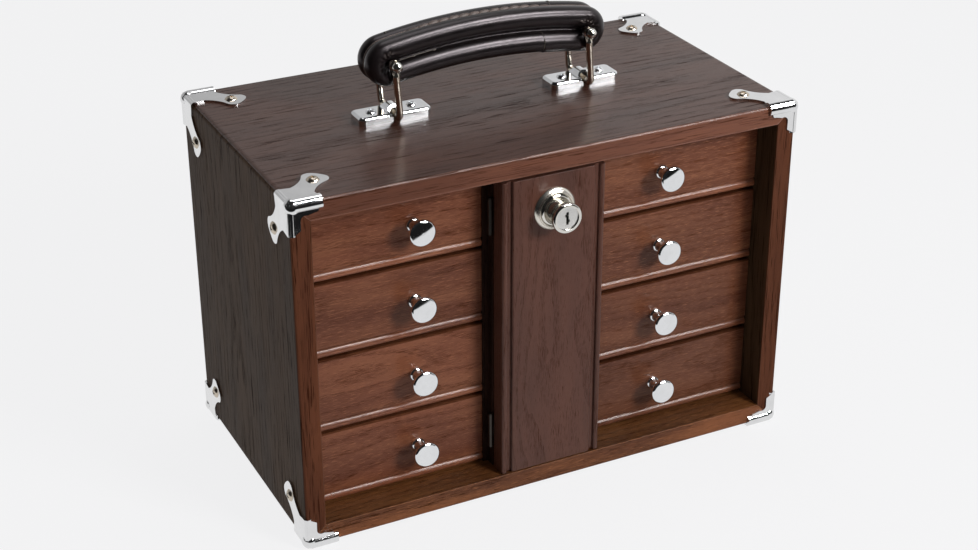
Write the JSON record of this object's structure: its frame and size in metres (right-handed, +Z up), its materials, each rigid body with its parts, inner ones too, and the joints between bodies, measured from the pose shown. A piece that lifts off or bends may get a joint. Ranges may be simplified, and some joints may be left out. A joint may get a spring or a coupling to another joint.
{
  "type": "tool chest",
  "caption": "Small wooden tool chest with two columns of drawers, a narrow locking middle door, metal corner protectors and a leather carrying handle.",
  "frame": {"origin": "on the ground, at the middle of the footprint taken with the projecting lock", "axes": "+X to the chest's right as seen from the front, +Y to its back, +Z up; the drawers open towards -Y"},
  "size_m": [0.3562, 0.2122, 0.3],
  "materials": {
    "stained_wood": "dark stained, open grain, satin varnish",
    "plain_wood": "plain, sanded",
    "bright_plate": "bright plated",
    "nickel_plate": "nickel plated, warm",
    "plain_steel": "plain",
    "black_leather": "black, lightly glossed"
  },
  "bodies": {
    "chest": {"case_top": "stained_wood", "case_bottom": "stained_wood", "case_side_left": "stained_wood", "case_side_right": "stained_wood", "case_back": "stained_wood", "partitions": "stained_wood", "door_posts": "stained_wood", "drawer_runners": "plain_wood", "corner_protectors": "bright_plate", "fixing_screws": "bright_plate", "handle_brackets": "bright_plate", "hinge_leaves_post": "plain_steel", "hinge_screws_post": "plain_steel", "hinge_pins": "plain_steel"},
    "drawer_left_1": {"drawer_left_1_front": "stained_wood", "drawer_left_1_box": "plain_wood", "drawer_left_1_bottom": "plain_wood", "drawer_left_1_knob": "bright_plate"},
    "drawer_left_2": {"drawer_left_2_front": "stained_wood", "drawer_left_2_box": "plain_wood", "drawer_left_2_bottom": "plain_wood", "drawer_left_2_knob": "bright_plate"},
    "drawer_left_3": {"drawer_left_3_front": "stained_wood", "drawer_left_3_box": "plain_wood", "drawer_left_3_bottom": "plain_wood", "drawer_left_3_knob": "bright_plate"},
    "drawer_left_4": {"drawer_left_4_front": "stained_wood", "drawer_left_4_box": "plain_wood", "drawer_left_4_bottom": "plain_wood", "drawer_left_4_knob": "bright_plate"},
    "drawer_right_1": {"drawer_right_1_front": "stained_wood", "drawer_right_1_box": "plain_wood", "drawer_right_1_bottom": "plain_wood", "drawer_right_1_knob": "bright_plate"},
    "drawer_right_2": {"drawer_right_2_front": "stained_wood", "drawer_right_2_box": "plain_wood", "drawer_right_2_bottom": "plain_wood", "drawer_right_2_knob": "bright_plate"},
    "drawer_right_3": {"drawer_right_3_front": "stained_wood", "drawer_right_3_box": "plain_wood", "drawer_right_3_bottom": "plain_wood", "drawer_right_3_knob": "bright_plate"},
    "drawer_right_4": {"drawer_right_4_front": "stained_wood", "drawer_right_4_box": "plain_wood", "drawer_right_4_bottom": "plain_wood", "drawer_right_4_knob": "bright_plate"},
    "door": {"door": "stained_wood", "hinge_leaves_door": "plain_steel", "hinge_screws_door": "plain_steel", "lock_barrel": "nickel_plate", "lock_rosette": "nickel_plate", "lock_nut": "nickel_plate"},
    "lock_plug": {"lock_plug": "nickel_plate", "lock_cam": "nickel_plate", "lock_cam_screw": "plain_steel"},
    "bail_left": {"bail_left": "bright_plate"},
    "bail_right": {"bail_right": "bright_plate"},
    "grip": {"handle_grip": "black_leather", "handle_strap": "plain_steel", "handle_pins": "bright_plate"}
  },
  "joints": [
    {"name": "drawer_left_1_slide", "type": "slide", "parent": "chest", "child": "drawer_left_1", "axis": [0, -1, 0], "range_m": [0, 0.115]},
    {"name": "drawer_left_2_slide", "type": "slide", "parent": "chest", "child": "drawer_left_2", "axis": [0, -1, 0], "range_m": [0, 0.115]},
    {"name": "drawer_left_3_slide", "type": "slide", "parent": "chest", "child": "drawer_left_3", "axis": [0, -1, 0], "range_m": [0, 0.115]},
    {"name": "drawer_left_4_slide", "type": "slide", "parent": "chest", "child": "drawer_left_4", "axis": [0, -1, 0], "range_m": [0, 0.115]},
    {"name": "drawer_right_1_slide", "type": "slide", "parent": "chest", "child": "drawer_right_1", "axis": [0, -1, 0], "range_m": [0, 0.115]},
    {"name": "drawer_right_2_slide", "type": "slide", "parent": "chest", "child": "drawer_right_2", "axis": [0, -1, 0], "range_m": [0, 0.115]},
    {"name": "drawer_right_3_slide", "type": "slide", "parent": "chest", "child": "drawer_right_3", "axis": [0, -1, 0], "range_m": [0, 0.115]},
    {"name": "drawer_right_4_slide", "type": "slide", "parent": "chest", "child": "drawer_right_4", "axis": [0, -1, 0], "range_m": [0, 0.115]},
    {"name": "door_hinge", "type": "hinge", "parent": "chest", "child": "door", "pos_m": [-0.0393, -0.0753, 0.12], "axis": [0, 0, 1], "range_deg": [-120, 0]},
    {"name": "lock_turn", "type": "hinge", "parent": "door", "child": "lock_plug", "pos_m": [-0.0015, -0.0789, 0.2012], "axis": [0, -1, 0], "range_deg": [0, 90]},
    {"name": "bail_left_swing", "type": "hinge", "parent": "chest", "child": "bail_left", "pos_m": [-0.0685, 0.00735, 0.2433], "axis": [0, 1, 0], "range_deg": [-50.5, 59.5]},
    {"name": "bail_right_swing", "type": "hinge", "parent": "chest", "child": "bail_right", "pos_m": [0.0685, 0.00735, 0.2433], "axis": [0, 1, 0], "range_deg": [-50.5, 59.5]},
    {"name": "grip_swing", "type": "hinge", "parent": "bail_left", "child": "grip", "pos_m": [-0.07134, 0.00735, 0.27939], "axis": [0, 1, 0], "range_deg": [-59.5, 50.5]}
  ],
  "couplings": [
    {"joint": "bail_right_swing", "follows": "bail_left_swing", "ratio": 1},
    {"joint": "grip_swing", "follows": "bail_left_swing", "ratio": -1}
  ]
}
